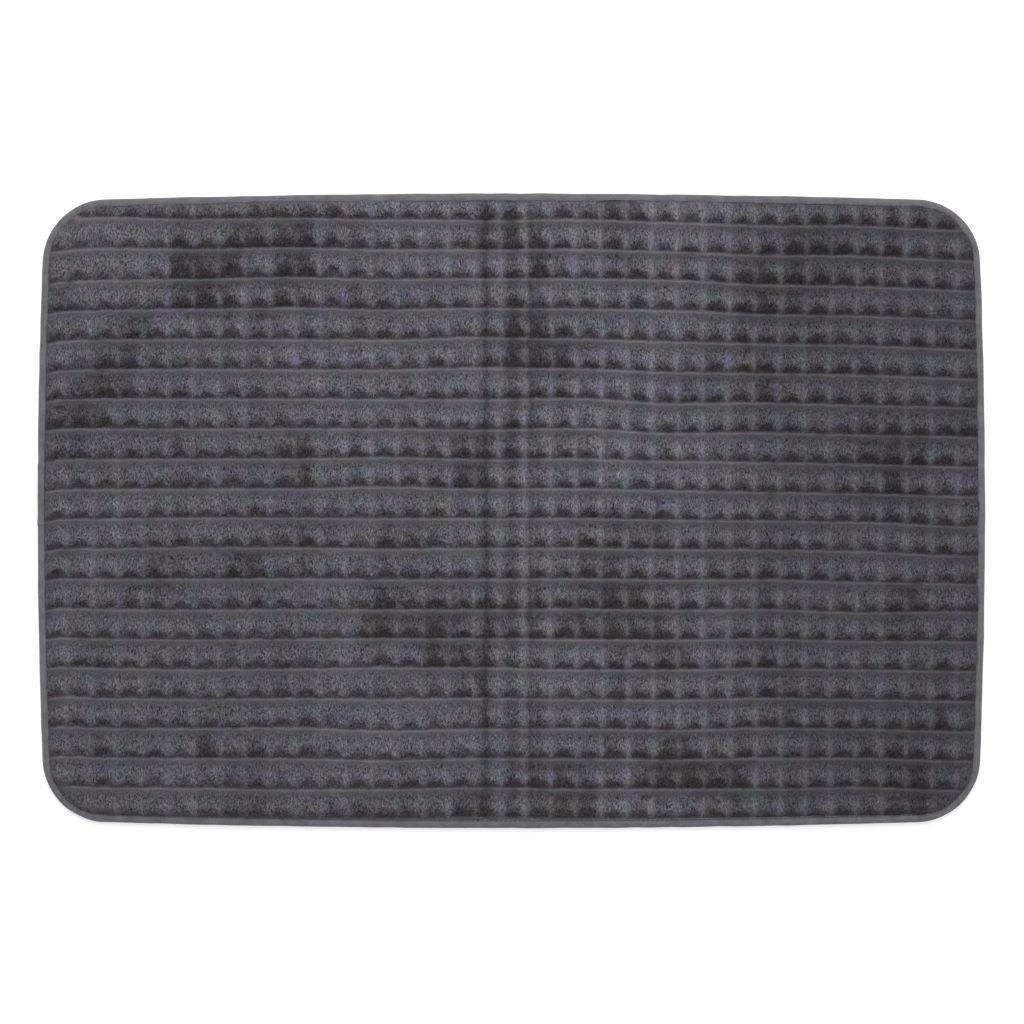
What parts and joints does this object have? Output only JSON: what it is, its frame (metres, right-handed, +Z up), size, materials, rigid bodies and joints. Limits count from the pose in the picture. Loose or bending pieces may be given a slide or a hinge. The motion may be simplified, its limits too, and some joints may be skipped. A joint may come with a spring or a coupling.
{
  "type": "bath mat",
  "caption": "Rectangular bath mat with rounded corners: quilted grey pile fleece over a soft foam core, a folded tape binding sewn round the edge, and a grip-dot backing.",
  "frame": {"origin": "on the floor under the middle of the mat", "axes": "+X along the mat's length, +Y across it towards the far long side, +Z up out of the pile"},
  "size_m": [0.6005, 0.402, 0.0125],
  "materials": {
    "fleece": "short dense pile, pressed into ribs and cells",
    "foam": "open-cell soft foam, matte",
    "backing": "plain woven backing cloth, matte",
    "grip": "soft grip compound, satin",
    "binding": "knitted tape, fine lengthwise ribs",
    "thread": "twisted polyester thread"
  },
  "bodies": {
    "root": {"fleece_cover": "fleece", "foam_core": "foam", "backing_fabric": "backing", "grip_dots": "grip", "edge_binding": "binding", "needle_thread": "thread", "bobbin_thread": "thread"}
  },
  "joints": []
}
